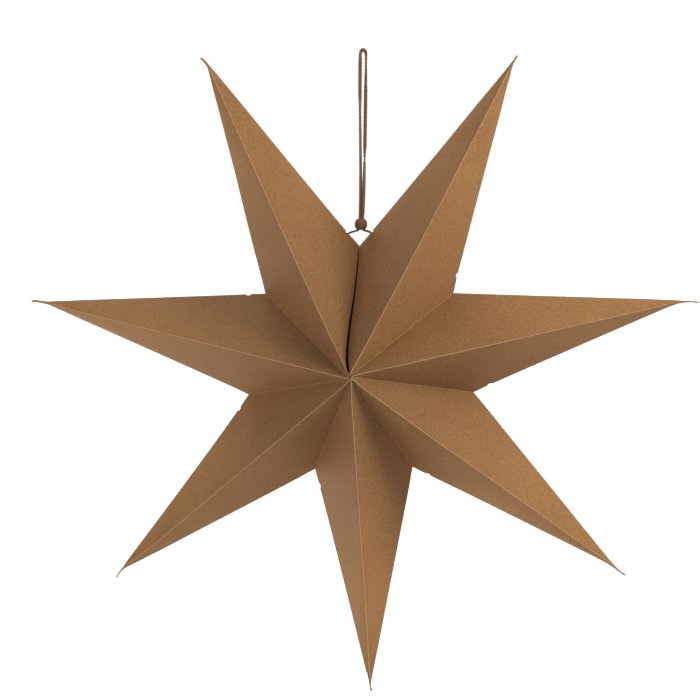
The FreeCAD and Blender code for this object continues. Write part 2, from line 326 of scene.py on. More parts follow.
class PointLayout:
    """One point in its own frame: the tip along +X, the front to -Y, the star's axis through zero."""

    def __init__(self, index):
        step = 360 / len(POINT_NAMES)
        first = fold_line_deg(90 + index * step)
        last = fold_line_deg(90 + (index + 1) * step)
        self.name = POINT_NAMES[index]
        self.half_angle = math.radians((last - first) / 2)
        self.tip = Vector((TIP_RADIUS, 0, 0))
        self.free_side = {0: CW, len(POINT_NAMES) - 1: CCW}.get(index)
        direction = math.radians((first + last) / 2)
        self.notch_strays = {CW: NOTCH_STRAYS[index] * MM, CCW: NOTCH_STRAYS[index + 1] * MM}
        self.place = Matrix.Translation(STAR_CENTRE) @ Matrix.Rotation(-direction, 4, "Y")

    def apex(self, face):
        return Vector((0, face * HALF_DEPTH, 0))

    def notch(self, side):
        across = side * NOTCH_RADIUS * math.sin(self.half_angle)
        return Vector((NOTCH_RADIUS * math.cos(self.half_angle), 0, across))

    def panel_normal(self, face, side):
        """Outward from a panel."""
        normal = (self.notch(side) - self.apex(face)).cross(self.tip - self.apex(face))
        normal.normalize()
        return normal if normal.y * face > 0 else -normal

    def mouth_normal(self, side):
        """Outward from the plane in which this side's flaps meet the neighbour's."""
        return Vector((-math.sin(self.half_angle), 0, side * math.cos(self.half_angle)))

    def on_fold(self, start, distance_from_hub):
        share = (distance_from_hub - start.x) / (self.tip.x - start.x)
        return start.lerp(self.tip, share)


def distance_to_line(place, start, end):
    along = (end - start).normalized()
    out = place - start
    return (out - along * out.dot(along)).length


def on_line(place, start, end):
    return distance_to_line(place, start, end) < ON_FOLD


def cut_along(bm, place, normal):
    everything = bm.verts[:] + bm.edges[:] + bm.faces[:]
    bmesh.ops.bisect_plane(bm, geom=everything, dist=CUT_NEAR, plane_co=place, plane_no=normal)


def cut_off(bm, place, outward):
    everything = bm.verts[:] + bm.edges[:] + bm.faces[:]
    bmesh.ops.bisect_plane(
        bm, geom=everything, dist=CUT_NEAR, plane_co=place, plane_no=outward, clear_outer=True)


def four_panels(layout):
    """The sheet's four panels as one strip, open along the seam."""
    bm = bmesh.new()
    bm.verts.layers.float_vector.new("fold_reach")
    ends = {}
    for name, start in (
        ("front", layout.apex(FRONT)),
        ("rear", layout.apex(REAR)),
        ("cw", layout.notch(CW)),
        ("ccw", layout.notch(CCW)),
        ("seam", layout.notch(CCW)),
    ):
        near = bm.verts.new(start)
        far = bm.verts.new(layout.on_fold(start, TONGUE_ROOT))
        ends[name] = (near, far)
    for one, other in (("front", "ccw"), ("cw", "front"), ("rear", "cw"), ("seam", "rear")):
        bm.faces.new((ends[one][1], ends[other][1], ends[other][0], ends[one][0]))
    return bm


def divide_panels(bm, layout):
    for place in ROW_PLACES:
        cut_along(bm, (place * MM, 0, 0), (1, 0, 0))
    cut_along(bm, layout.notch(CCW), (1, 0, 0))
    for angle_deg in COLUMN_ANGLES_DEG:
        angle = math.radians(angle_deg)
        for side in (CCW, CW):
            cut_along(bm, (0, 0, 0), (0, side * math.sin(angle), math.cos(angle)))
    if layout.free_side:
        normal = layout.mouth_normal(layout.free_side)
        for inwards in (HEM_FLAP - HEM_RAMP, HEM_FLAP + HEM_RAMP):
            cut_along(bm, normal * -(SLIT_CUT + inwards * EDGE_LEAN), normal)
        cut_off(bm, normal * -SLIT_CUT, normal)
    cut_off(bm, (HUB_HOLE, 0, 0), (-1, 0, 0))
    near_tip = [v for v in bm.verts if v.co.x > SEAM_CLOSES_AT - JUST_UNDER]
    bmesh.ops.remove_doubles(bm, verts=near_tip, dist=SAME_SPOT)


def round_folds(bm, layout):
    for start in (layout.apex(FRONT), layout.apex(REAR), layout.notch(CW)):
        fold = [e for e in bm.edges if all(on_line(v.co, start, layout.tip) for v in e.verts)]
        bmesh.ops.bevel(
            bm, geom=fold, offset=RIDGE_ROUNDING, offset_type="OFFSET", segments=3, profile=0.5,
            affect="EDGES", material=-1, clamp_overlap=True)


def eased(share):
    share = min(max(share, 0), 1)
    return share * share * (3 - 2 * share)


def flexed(layout, co):
    """How far the slack card stands out of its flat panel at a place on it, along the panel's normal."""
    face = FRONT if co.y < 0 else REAR
    side = CCW if co.z > 0 else CW
    ridge = distance_to_line(co, layout.apex(face), layout.tip)
    outline = distance_to_line(co, layout.notch(side), layout.tip)
    mouth = abs(co.dot(layout.mouth_normal(side)))
    from_tip = TIP_RADIUS - co.x
    spread = ridge * outline / max((ridge + outline) ** 2, NOT_ZERO) * 4
    bow = PANEL_BOW * spread * eased(mouth / BOW_FROM_MOUTH) * eased(from_tip / BOW_FROM_TIP)
    if side == layout.free_side:
        rolled = max(0, 1 - (mouth - SLIT_CUT) / EDGE_ROLL_WIDTH)
        to_notch = eased(math.hypot(co.x, co.z) / NOTCH_RADIUS)
        away = EDGE_ROLLS[side] * (1 - EDGE_ROLL_LOST * to_notch)
        free = eased(ridge / EDGE_ROLL_FROM_RIDGE) * eased(outline / EDGE_ROLL_FROM_OUTLINE)
        bow -= away * rolled * rolled * free
        from_edge = (mouth - SLIT_CUT) / EDGE_LEAN
        raised = 1 - eased((from_edge - HEM_FLAP + HEM_RAMP) / (2 * HEM_RAMP))
        raised *= eased(ridge / HEM_SHOWS_FROM_FOLD) * eased(outline / HEM_SHOWS_FROM_FOLD)
        bow += HEM_SHOWS * raised
    if side == CCW and face == REAR:
        over_lap = ridge / max(ridge + outline, NOT_ZERO)
        open_here = eased((SEAM_CLOSES_AT - co.x) / SEAM_OPENS_OVER) * eased(mouth / SEAM_FROM_MOUTH)
        bow += SEAM_STEP * over_lap * open_here
    return layout.panel_normal(face, side) * bow


def flex_panels(bm, layout):
    """The card leans out of its flat panels; along the seam the rear panel's cut edge lies on the lap."""
    moves = []
    for v in bm.verts:
        move = flexed(layout, v.co)
        only_rear = all(f.calc_center_median().y > 0 for f in v.link_faces)
        on_outline = on_line(v.co, layout.notch(CCW), layout.tip)
        if on_outline and not only_rear:
            move = Vector()
        elif on_outline:
            open_here = eased((SEAM_CLOSES_AT - v.co.x) / SEAM_OPENS_OVER)
            inwards = Vector((0, 1, 0)).cross(layout.tip - layout.notch(CCW)).normalized()
            inwards = -inwards if inwards.z > 0 else inwards
            leant = inwards * SEAM_LEAN_IN + Vector((0, SEAM_LEAN_BACK, 0))
            move += leant * SEAM_SHORT * open_here
        moves.append(move)
    for v, move in zip(bm.verts, moves):
        v.co += move


def extruded(bm, edges, moves):
    """New vertices of an extruded edge chain, each moved by its own amount."""
    sources = {}
    for e in edges:
        for v in e.verts:
            sources[v.co.copy().freeze()] = moves(v.co)
    out = bmesh.ops.extrude_edge_only(bm, edges=edges)["geom"]
    for v in out:
        if isinstance(v, bmesh.types.BMVert):
            v.co += sources[v.co.copy().freeze()]
    return [e for e in out if isinstance(e, bmesh.types.BMEdge) and e.is_boundary]


def mouth_edges(bm, layout, face, side):
    """The panel's edge at the mouth, without the small round of the outline fold."""
    normal = layout.mouth_normal(side)
    along = (layout.notch(side) - layout.apex(face)).normalized()
    gap = SLIT_CUT if side == layout.free_side else 0
    reach = EDGE_FOUND_WITHIN if side == layout.free_side else ON_FOLD
    found = []
    for e in bm.edges:
        if not e.is_boundary or e.link_faces[0].calc_center_median().y * face < 0:
            continue
        flat = all(abs(v.co.dot(normal) + gap) < reach for v in e.verts)
        run = (e.verts[1].co - e.verts[0].co).normalized()
        if flat and abs(run.dot(along)) > 0.98:
            found.append(e)
    return found


def add_glue_flap(bm, layout, face, side):
    apex = layout.apex(face)
    notch = layout.notch(side)
    along = (notch - apex).normalized()
    inwards = layout.mouth_normal(side).cross(along).normalized()
    if inwards.dot(-notch) < 0:
        inwards = -inwards
    length = (notch - apex).length

    def move(co):
        run = (co - apex).dot(along)
        width = min(GLUE_FLAP, (run - FLAP_START) * 0.8, (length - run) * 0.82)
        return inwards * max(width, NARROW_FLAP)

    extruded(bm, mouth_edges(bm, layout, face, side), move)


def add_hem_flap(bm, layout, face, side):
    """The edge at the slit is folded right back and lies flat under its panel."""
    apex = layout.apex(face)
    notch = layout.notch(side)
    normal = layout.panel_normal(face, side)
    along = (notch - apex).normalized()
    inwards = normal.cross(along).normalized()
    if inwards.dot(layout.mouth_normal(side)) > 0:
        inwards = -inwards
    length = (notch - apex).length
    edges = mouth_edges(bm, layout, face, side)
    for down, across in HEM_TURN:
        step = normal * (down * CARD_THICKNESS) + inwards * (across * CARD_THICKNESS)
        edges = extruded(bm, edges, lambda co: step)

    def move(co):
        run = (co - apex).dot(along)
        width = min(HEM_FLAP, run * 0.5, (length - run) * 1.2)
        return inwards * max(width, NARROW_HEM)

    extruded(bm, edges, move)


def add_seam_lap(bm, layout):
    """The front panel's edge folds round the outline and lies under the rear panel."""
    start = layout.notch(CCW)
    along = (layout.tip - start).normalized()
    inwards = layout.panel_normal(REAR, CCW).cross(along).normalized()
    if inwards.z > 0:
        inwards = -inwards
    fold = []
    for e in bm.edges:
        on_fold = all(on_line(v.co, start, layout.tip) and v.co.x < LAP_ENDS_AT for v in e.verts)
        if e.is_boundary and on_fold and e.link_faces[0].calc_center_median().y < 0:
            fold.append(e)

    def move(co):
        width = min(SEAM_LAP, (co.x - start.x) * 1.2, (LAP_ENDS_AT - co.x) * 0.8)
        return inwards * max(width, NARROW_FLAP)

    extruded(bm, fold, move)


def punch_string_hole(bm, layout, side, seed):
    """A round hole across an outline fold, a little torn round its edge."""
    notch = layout.notch(side)
    centre = notch + (layout.tip - notch).normalized() * HOLE_FROM_NOTCH

    def from_centre(face):
        return (face.calc_center_median() - centre).length

    for divisions in (3, 2):
        near = [f for f in bm.faces if from_centre(f) < HOLE_FINE_AREA
                or min((v.co - centre).length for v in f.verts) < HOLE_FINE_AREA]
        near = set(near)
        edges = [e for e in bm.edges
                 if e.calc_length() > HOLE_FINE_EDGE and not near.isdisjoint(e.link_faces)]
        bmesh.ops.subdivide_edges(bm, edges=edges, cuts=divisions, use_grid_fill=True)
        many_sided = [f for f in bm.faces if len(f.verts) > 4 and from_centre(f) < 2 * HOLE_FINE_AREA]
        bmesh.ops.triangulate(bm, faces=many_sided)
    gone = [f for f in bm.faces if from_centre(f) < HOLE_RADIUS]
    rim = {v for f in gone for v in f.verts}
    bmesh.ops.delete(bm, geom=gone, context="FACES")
    for v in rim:
        if v.is_valid and v.is_boundary:
            out = v.co - centre
            ragged = 1 + HOLE_TORN * noise.noise(v.co * HOLE_TEARS + Vector((seed, 0, 0)))
            v.co = centre + out.normalized() * (HOLE_RADIUS * ragged)


def read_at(places, values, place):
    """The value at a place, in millimetres, between the nearest given ones."""
    place = min(max(place / MM, places[0]), places[-1])
    for near, far, one, other in zip(places, places[1:], values, values[1:]):
        if place <= far:
            return (one + (other - one) * (place - near) / (far - near)) * MM
    return values[-1] * MM


def stray(layout, co):
    """How far slack folds carry a place on the card sideways."""
    face = FRONT if co.y < 0 else REAR
    side = CCW if co.z > 0 else CW
    notch = layout.notch(side)
    tangent = layout.mouth_normal(side) * side
    ridge = distance_to_line(co, layout.apex(face), layout.tip)
    outline = distance_to_line(co, notch, layout.tip)
    mouth = max(-co.dot(layout.mouth_normal(side)), 0)
    nearest = min(mouth, outline)
    at_edge = ridge / max(ridge + nearest, NOT_ZERO)
    at_outline = mouth / max(mouth + outline, NOT_ZERO)
    from_hub = math.hypot(co.x, co.z)
    at_notch = layout.notch_strays[side]
    if side == layout.free_side:
        opened = read_at(SLIT_PLACES, SLIT_HALF_GAPS, from_hub) - SLIT_CUT
        at_mouth = read_at(SLIT_PLACES, SLIT_STRAYS, from_hub) - side * opened
    else:
        out = min(from_hub / NOTCH_RADIUS, 1)
        at_mouth = at_notch * out + HUB_STRAY * MM * (1 - out)
    ccw_strays, cw_strays, ridge_strays = STRAYS[layout.name]
    outwards = eased((co.x - notch.x) / STRAY_TURNS_OVER)
    along = read_at(OUTLINE_PLACES, ccw_strays if side == CCW else cw_strays, co.x) * side
    along = at_notch * (1 - outwards) + along * outwards
    on_edge = at_mouth * (1 - at_outline) + along * at_outline
    straight = tangent.lerp(Vector((0, 0, 1)), eased((co.x - notch.x) / STRAIGHT_AFTER))
    on_ridge = read_at(RIDGE_PLACES, ridge_strays, co.x)
    return straight * (on_edge * at_edge) + Vector((0, 0, on_ridge * (1 - at_edge)))


def let_stray(bm, layout):
    for v, move in [(v, stray(layout, v.co)) for v in bm.verts]:
        v.co += move


def thicken(bm):
    """The card's other face, one thickness further in. Returns the new face's vertices."""
    bmesh.ops.dissolve_degenerate(bm, edges=bm.edges[:], dist=TOO_SHORT)
    before = set(bm.verts)
    bmesh.ops.solidify(bm, geom=bm.faces[:], thickness=CARD_THICKNESS)
    return [v for v in bm.verts if v not in before]


def add_tongue(bm, layout, inner):
    """At the tip the four panels are pinched together into a thin curled tongue."""
    end = TONGUE_ROOT - JUST_UNDER
    rim = [v for v in inner if v.co.x > TONGUE_ROOT - TONGUE_FILLS_FROM]
    closing = [f for f in bm.faces if all(v in rim or v.co.x > end for v in f.verts)]
    bmesh.ops.delete(bm, geom=closing, context="FACES")
    bmesh.ops.pointmerge(bm, verts=rim, merge_co=Vector((TONGUE_ROOT - TONGUE_FILL_END, 0, 0)))
    ring = [e for e in bm.edges if e.is_boundary and all(v.co.x > end for v in e.verts)]
    last = Vector((1, 0, 0))
    root = list(dict.fromkeys(v for e in ring for v in e.verts))
    place = sum((v.co for v in root), Vector()) / len(root)
    stations = TONGUES[layout.name]
    places = [Vector((out, -forwards, sideways)) * MM for out, sideways, forwards, _ in stations]
    for step, target in enumerate(places):
        ahead = places[step + 1] if step + 1 < len(places) else target + (target - place)
        heading = (ahead - place).normalized()
        made = bmesh.ops.extrude_edge_only(bm, edges=ring)["geom"]
        verts = [v for v in made if isinstance(v, bmesh.types.BMVert)]
        ring = [e for e in made if isinstance(e, bmesh.types.BMEdge) and e.is_boundary]
        middle = sum((v.co for v in verts), Vector()) / len(verts)
        flat = sorted(verts, key=lambda v: v.co.z)
        scale = stations[step][3] * MM / (flat[-1].co - flat[0].co).length
        flatter = TONGUE_FLATTENS[min(step, len(TONGUE_FLATTENS) - 1)]
        bmesh.ops.translate(bm, verts=verts, vec=-middle)
        bmesh.ops.scale(bm, verts=verts, vec=(scale, scale * flatter, scale))
        turn = last.rotation_difference(heading).to_matrix()
        bmesh.ops.rotate(bm, verts=verts, cent=(0, 0, 0), matrix=turn)
        bmesh.ops.translate(bm, verts=verts, vec=target)
        last = heading
        place = target
    bmesh.ops.holes_fill(bm, edges=ring, sides=0)


def note_fold_distances(bm, layout):
    """Each vertex keeps its distances from ridge, outline and mouth fold, for the wear on them."""
    reach = bm.verts.layers.float_vector["fold_reach"]
    for v in bm.verts:
        face = FRONT if v.co.y < 0 else REAR
        side = CCW if v.co.z > 0 else CW
        v[reach] = (
            distance_to_line(v.co, layout.apex(face), layout.tip),
            distance_to_line(v.co, layout.notch(side), layout.tip),
            distance_to_line(v.co, layout.apex(face), layout.notch(side)),
        )


def gather_at_hub(bm):
    """The folds are drawn in towards the middle of the star where they meet."""
    for v in bm.verts:
        from_hub = math.hypot(v.co.x, v.co.z)
        inwards = HUB_DRAWN_IN * math.exp(-from_hub / HUB_REACH)
        v.co.y += inwards if v.co.y < 0 else -inwards
        closer = 1 - HUB_CLOSED * math.exp(-(from_hub / HUB_CLOSED_REACH) ** 2)
        v.co.x *= closer
        v.co.z *= closer


def new_group(name, inputs, outputs):
    group = bpy.data.node_groups.new(name, "ShaderNodeTree")
    for label, kind, value in inputs:
        socket = group.interface.new_socket(name=label, in_out="INPUT", socket_type=kind)
        if value is not None:
            socket.default_value = value
    for label, kind in outputs:
        group.interface.new_socket(name=label, in_out="OUTPUT", socket_type=kind)
    return group


class Nodes:
    """Short ways to place and join the nodes of one tree."""

    def __init__(self, tree):
        self.tree = tree

    def add(self, kind, **settings):
        node = self.tree.nodes.new(kind)
        for key, value in settings.items():
            setattr(node, key, value)
        return node

    def join(self, source, target):
        self.tree.links.new(source, target)

    def feed(self, target, value):
        if isinstance(value, bpy.types.NodeSocket):
            self.join(value, target)
        else:
            target.default_value = value

    def math(self, operation, *values, clamp=False):
        node = self.add("ShaderNodeMath", operation=operation, use_clamp=clamp)
        for socket, value in zip(node.inputs, values):
            self.feed(socket, value)
        return node.outputs["Value"]

    def noise(self, coordinates, scale, detail=2.0, roughness=0.5, distortion=0.0):
        node = self.add("ShaderNodeTexNoise")
        self.join(coordinates, node.inputs["Vector"])
        self.feed(node.inputs["Scale"], scale)
        node.inputs["Detail"].default_value = detail
        node.inputs["Roughness"].default_value = roughness
        node.inputs["Distortion"].default_value = distortion
        return node.outputs["Fac"]

    def spread(self, value, low, high, to_low=0.0, to_high=1.0, smooth=False):
        node = self.add("ShaderNodeMapRange")
        node.interpolation_type = "SMOOTHSTEP" if smooth else "LINEAR"
        for label, each in (("Value", value), ("From Min", low), ("From Max", high),
                            ("To Min", to_low), ("To Max", to_high)):
            self.feed(node.inputs[label], each)
        return node.outputs["Result"]

    def blend(self, share, one, other, mode="MIX"):
        node = self.add("ShaderNodeMix", data_type="RGBA", blend_type=mode)
        self.feed(node.inputs["Factor"], share)
        for label, each in (("A", one), ("B", other)):
            socket = [s for s in node.inputs if s.name == label and s.type == "RGBA"][0]
            self.feed(socket, each)
        return [s for s in node.outputs if s.type == "RGBA"][0]

    def stretched(self, coordinates, turn_deg, stretch):
        node = self.add("ShaderNodeMapping")
        self.join(coordinates, node.inputs["Vector"])
        node.inputs["Rotation"].default_value = [math.radians(d) for d in turn_deg]
        node.inputs["Scale"].default_value = stretch
        return node.outputs["Vector"]

    def bumped(self, height, strength, distance):
        node = self.add("ShaderNodeBump")
        node.inputs["Strength"].default_value = strength
        node.inputs["Distance"].default_value = distance
        self.join(height, node.inputs["Height"])
        return node.outputs["Normal"]


def fibre_group():
    """Fine mottle, short pale fibres and dark flecks of an uncoated fibrous stuff."""
    group = new_group(
        "fine_fibre",
        (("Vector", "NodeSocketVector", None), ("Scale", "NodeSocketFloat", 1.0)),
        (("Mottle", "NodeSocketFloat"), ("Fibres", "NodeSocketFloat"),
         ("Flecks", "NodeSocketFloat"), ("Height", "NodeSocketFloat")))
    n = Nodes(group)
    ins = n.add("NodeGroupInput")
    outs = n.add("NodeGroupOutput")
    scaled = n.add("ShaderNodeVectorMath", operation="SCALE")
    n.join(ins.outputs["Vector"], scaled.inputs["Vector"])
    n.join(ins.outputs["Scale"], scaled.inputs["Scale"])
    where = scaled.outputs["Vector"]
    coarse = n.noise(where, 430, detail=3.0, roughness=0.62)
    fine = n.noise(where, 1500, detail=2.0, roughness=0.6)
    mottle = n.math("ADD", n.math("MULTIPLY", coarse, 0.6), n.math("MULTIPLY", fine, 0.4))
    strands = None
    for turn in ((0, 20, 10), (15, 80, 65), (70, 140, 120)):
        drawn = n.stretched(where, turn, (0.16, 1, 1))
        layer = n.noise(drawn, 1500, detail=1.0, roughness=0.5, distortion=0.6)
        streak = n.spread(layer, 0.60, 0.72, smooth=True)
        strands = streak if strands is None else n.math("MAXIMUM", strands, streak)
    cells = n.add("ShaderNodeTexVoronoi", feature="F1")
    n.join(n.stretched(where, (30, 50, 10), (1, 1, 0.55)), cells.inputs["Vector"])
    cells.inputs["Scale"].default_value = 190
    chosen = n.add("ShaderNodeSeparateColor")
    n.join(cells.outputs["Color"], chosen.inputs["Color"])
    size = n.spread(chosen.outputs["Red"], 0.55, 1.0, 0.0, 0.16)
    flecks = n.math("LESS_THAN", cells.outputs["Distance"], size)
    height = n.math("ADD", mottle, n.math("MULTIPLY", strands, 0.5))
    n.join(mottle, outs.inputs["Mottle"])
    n.join(strands, outs.inputs["Fibres"])
    n.join(flecks, outs.inputs["Flecks"])
    n.join(height, outs.inputs["Height"])
    return group


def new_material(name):
    mat = bpy.data.materials.new(name)
    mat.use_nodes = True
    return mat, Nodes(mat.node_tree), mat.node_tree.nodes["Principled BSDF"]


def fibres_on(n, fibre, scale):
    place = n.add("ShaderNodeTexCoord").outputs["Object"]
    node = n.add("ShaderNodeGroup", node_tree=fibre)
    n.join(place, node.inputs["Vector"])
    node.inputs["Scale"].default_value = scale
    return place, node


def kraft_card(fibre):
    """Uncoated brown kraft card, paler where a fold has opened its fibres, with shade painted darker
    towards the hub and light painted on the tips.
    """
    mat, n, shader = new_material("kraft_card")
    place, fibres = fibres_on(n, fibre, 1.0)
    broad = n.noise(place, 14, detail=3.0, roughness=0.55)
    tone = n.blend(n.spread(broad, 0.3, 0.7), CARD_DARK, CARD_PALE)
    grain = n.spread(fibres.outputs["Mottle"], 0.28, 0.72, 1 - CARD_GRAIN, 1 + CARD_GRAIN)
    # Painted shade and light: the colour darkens towards the hub, standing in for the valleys' shade, and
    # lightens towards the tips
    from_hub = n.add("ShaderNodeVectorMath", operation="DISTANCE")
    flat = n.add("ShaderNodeVectorMath", operation="MULTIPLY")
    n.join(place, flat.inputs[0])
    flat.inputs[1].default_value = (1, 0, 1)
    n.join(flat.outputs["Vector"], from_hub.inputs[0])
    from_hub.inputs[1].default_value = STAR_CENTRE
    painted_shade_and_light = n.spread(from_hub.outputs["Value"], *PAINTED_SHADE_AND_LIGHT)
    grain = n.math("MULTIPLY", grain, painted_shade_and_light)
    grain_and_painted_shade = n.add("ShaderNodeVectorMath", operation="SCALE")
    n.join(tone, grain_and_painted_shade.inputs["Vector"])
    n.join(grain, grain_and_painted_shade.inputs["Scale"])
    strands = n.math("MULTIPLY", fibres.outputs["Fibres"], 0.10)
    stranded = n.blend(strands, grain_and_painted_shade.outputs["Vector"], FIBRE_PALE)
    flecked = n.blend(n.math("MULTIPLY", fibres.outputs["Flecks"], 0.45), stranded, FLECK_DARK)
    reach = n.add("ShaderNodeAttribute", attribute_name="fold_reach")
    apart = n.add("ShaderNodeSeparateXYZ")
    n.join(reach.outputs["Vector"], apart.inputs["Vector"])
    beads = n.spread(n.noise(place, 700, detail=2.0, roughness=0.6), 0.25, 0.65, 0.55, 1.0)
    ridge = n.spread(apart.outputs["X"], *RIDGE_WEAR, 1, 0, smooth=True)
    outline = n.spread(apart.outputs["Y"], *OUTLINE_WEAR, 1, 0, smooth=True)
    mouth = n.spread(apart.outputs["Z"], *MOUTH_WEAR, 1, 0, smooth=True)
    wear = n.math("MAXIMUM", n.math("MULTIPLY", ridge, 0.85), n.math("MULTIPLY", outline, 0.25))
    wear = n.math("MAXIMUM", wear, n.math("MULTIPLY", mouth, 0.45))
    wear = n.math("MULTIPLY", wear, beads, clamp=True)
    worn = n.blend(wear, flecked, WORN_FOLD)
    n.join(worn, shader.inputs["Base Color"])
    n.join(n.spread(fibres.outputs["Mottle"], 0.3, 0.7, 0.66, 0.84), shader.inputs["Roughness"])
    n.join(n.bumped(fibres.outputs["Height"], 0.35, 0.06 * MM), shader.inputs["Normal"])
    shader.inputs["Specular IOR Level"].default_value = 0.35
    return mat


def bead_wood(fibre):
    """Matt stained wood with a fine grain along the bead's height."""
    mat, n, shader = new_material("brown_wood")
    place, fibres = fibres_on(n, fibre, 1.6)
    along = n.stretched(place, (8, 4, 0), (1, 1, 0.12))
    grain = n.noise(along, 1300, detail=3.0, roughness=0.6, distortion=0.4)
    colour = n.blend(n.spread(grain, 0.32, 0.68), WOOD_DARK, WOOD_PALE)
    colour = n.blend(n.math("MULTIPLY", fibres.outputs["Flecks"], 0.5), colour, FLECK_DARK)
    n.join(colour, shader.inputs["Base Color"])
    n.join(n.spread(grain, 0.3, 0.7, 0.85, 0.75), shader.inputs["Roughness"])
    n.join(n.bumped(grain, 0.4, 0.05 * MM), shader.inputs["Normal"])
    return mat


def cord_cotton(fibre):
    """Waxed cotton yarn with short paler fibres."""
    mat, n, shader = new_material("brown_cord")
    place, fibres = fibres_on(n, fibre, 2.4)
    tone = n.noise(place, 900, detail=2.0, roughness=0.6)
    colour = n.blend(n.spread(tone, 0.32, 0.68), CORD_DARK, CORD_PALE)
    colour = n.blend(n.math("MULTIPLY", fibres.outputs["Fibres"], 0.4), colour, CORD_FIBRE)
    n.join(colour, shader.inputs["Base Color"])
    shader.inputs["Roughness"].default_value = 0.72
    shader.inputs["Sheen Weight"].default_value = 0.25
    shader.inputs["Sheen Roughness"].default_value = 0.4
    n.join(n.bumped(fibres.outputs["Height"], 0.5, 0.06 * MM), shader.inputs["Normal"])
    return mat


def placed_piece(name, mesh, material, replaced=None):
    mesh.materials.clear()
    mesh.materials.append(material)
    mesh.shade_smooth()
    piece = bpy.data.objects.new(name, mesh)
    bpy.context.collection.objects.link(piece)
    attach(piece, "root")
    if replaced:
        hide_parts(replaced)
    return piece


def card_point(index, material):
    layout = PointLayout(index)
    bm = four_panels(layout)
    divide_panels(bm, layout)
    round_folds(bm, layout)
    flex_panels(bm, layout)
    for side in (CCW, CW):
        add_flap = add_hem_flap if side == layout.free_side else add_glue_flap
        for face in (FRONT, REAR):
            add_flap(bm, layout, face, side)
    add_seam_lap(bm, layout)
    for side in (CCW, CW):
        if side == CW or side == layout.free_side:
            punch_string_hole(bm, layout, side, index)
    inner = thicken(bm)
    note_fold_distances(bm, layout)
    let_stray(bm, layout)
    add_tongue(bm, layout, inner)
    gather_at_hub(bm)
    bm.transform(layout.place)
    mesh = bpy.data.meshes.new("card_point_" + layout.name)
    bm.to_mesh(mesh)
    bm.free()
    placed_piece(mesh.name, mesh, material, "paper_point_" + layout.name)
    mesh.set_sharp_from_angle(angle=CREASE_ANGLE)


def curve_mesh(name, paths, depth, closed=False):
    """Round yarns of one thickness along the given paths. A closed one is smoothed."""
    curve = bpy.data.curves.new(name, "CURVE")
    curve.dimensions = "3D"
    curve.bevel_depth = depth
    curve.bevel_resolution = 1
    curve.use_fill_caps = not closed
    curve.resolution_u = 6
    for path in paths:
        spline = curve.splines.new("NURBS" if closed else "POLY")
        spline.points.add(len(path) - 1)
        for point, place in zip(spline.points, path):
            point.co = (*place, 1)
        spline.use_cyclic_u = closed
        if closed:
            spline.order_u = 4
    obj = bpy.data.objects.new(name, curve)
    bpy.context.collection.objects.link(obj)
    mesh = bpy.data.meshes.new_from_object(obj)
    bpy.data.objects.remove(obj)
    mesh.name = name
    return mesh


def joined(mesh, other):
    bm = bmesh.new()
    bm.from_mesh(mesh)
    bm.from_mesh(other)
    bm.to_mesh(mesh)
    bm.free()
    bpy.data.meshes.remove(other)
    return mesh


def cord_centreline():
    """The route's own smooth line, read at even steps."""
    curve = bpy.data.curves.new("cord_route", "CURVE")
    curve.dimensions = "3D"
    curve.resolution_u = 24
    spline = curve.splines.new("NURBS")
    spline.points.add(len(CORD_ROUTE) - 1)
    for point, (x, z) in zip(spline.points, CORD_ROUTE):
        point.co = (x * MM, 0, z * MM, 1)
    spline.order_u = 3
    spline.use_endpoint_u = True
    obj = bpy.data.objects.new("cord_route", curve)
    bpy.context.collection.objects.link(obj)
    mesh = bpy.data.meshes.new_from_object(obj)
    line = [v.co.copy() for v in mesh.vertices]
    bpy.data.objects.remove(obj)
    bpy.data.meshes.remove(mesh)
    travelled = [0.0]
    for a, b in zip(line, line[1:]):
        travelled.append(travelled[-1] + (b - a).length)
    count = round(travelled[-1] / BRAID_PITCH * STEPS_PER_PITCH)
    even = []
    at = 0
    for step in range(count + 1):
        goal = travelled[-1] * step / count
        while at < len(line) - 2 and travelled[at + 1] < goal:
            at += 1
        span = travelled[at + 1] - travelled[at]
        even.append(line[at].lerp(line[at + 1], (goal - travelled[at]) / span))
    return even, travelled[-1]


def turn_at(distance):
    """How far the flat cord is turned at a distance from its left end, in radians."""
    for (near, one), (far, other) in zip(CORD_TURNS, CORD_TURNS[1:]):
        if distance <= far * MM:
            share = eased((distance / MM - near) / (far - near))
            return math.radians(one + (other - one) * share)
    return math.radians(CORD_TURNS[-1][1])


def braided_cord(material):
    """Yarns go over and under each other from edge to edge of a flat braid, round a soft core."""
    line, length = cord_centreline()
    half_width = CORD_WIDTH / 2 - YARN_RADIUS
    yarns = [[] for _ in range(YARNS)]
    core = [[] for _ in range(CORE_STRANDS)]
    for step, place in enumerate(line):
        ahead = line[min(step + 1, len(line) - 1)] - line[max(step - 1, 0)]
        ahead.normalize()
        distance = length * step / (len(line) - 1)
        turn = turn_at(distance)
        across = Vector((0, 1, 0)).cross(ahead).normalized()
        wide = across * math.cos(turn) + Vector((0, 1, 0)) * math.sin(turn)
        thick = ahead.cross(wide).normalized()
        for number, strand in enumerate(core):
            strand.append(place + wide * (CORE_SPREAD * (number - CORE_STRANDS // 2)))
        for number, yarn in enumerate(yarns):
            phase = math.tau * (distance / BRAID_PITCH + number / YARNS)
            sideways = half_width * (math.sin(phase) - 0.1 * math.sin(3 * phase)) / 1.1
            over = -math.tanh(YARN_DIPS * math.cos(phase)) * math.cos(YARNS * (phase - math.pi / 2))
            yarn.append(place + wide * sideways + thick * BRAID_HALF_THICKNESS * over)
    mesh = joined(curve_mesh("braided_cord", yarns, YARN_RADIUS), curve_mesh("core", core, CORE_RADIUS))
    piece = placed_piece("braided_cord", mesh, material, "hanging_cord")
    return piece, line


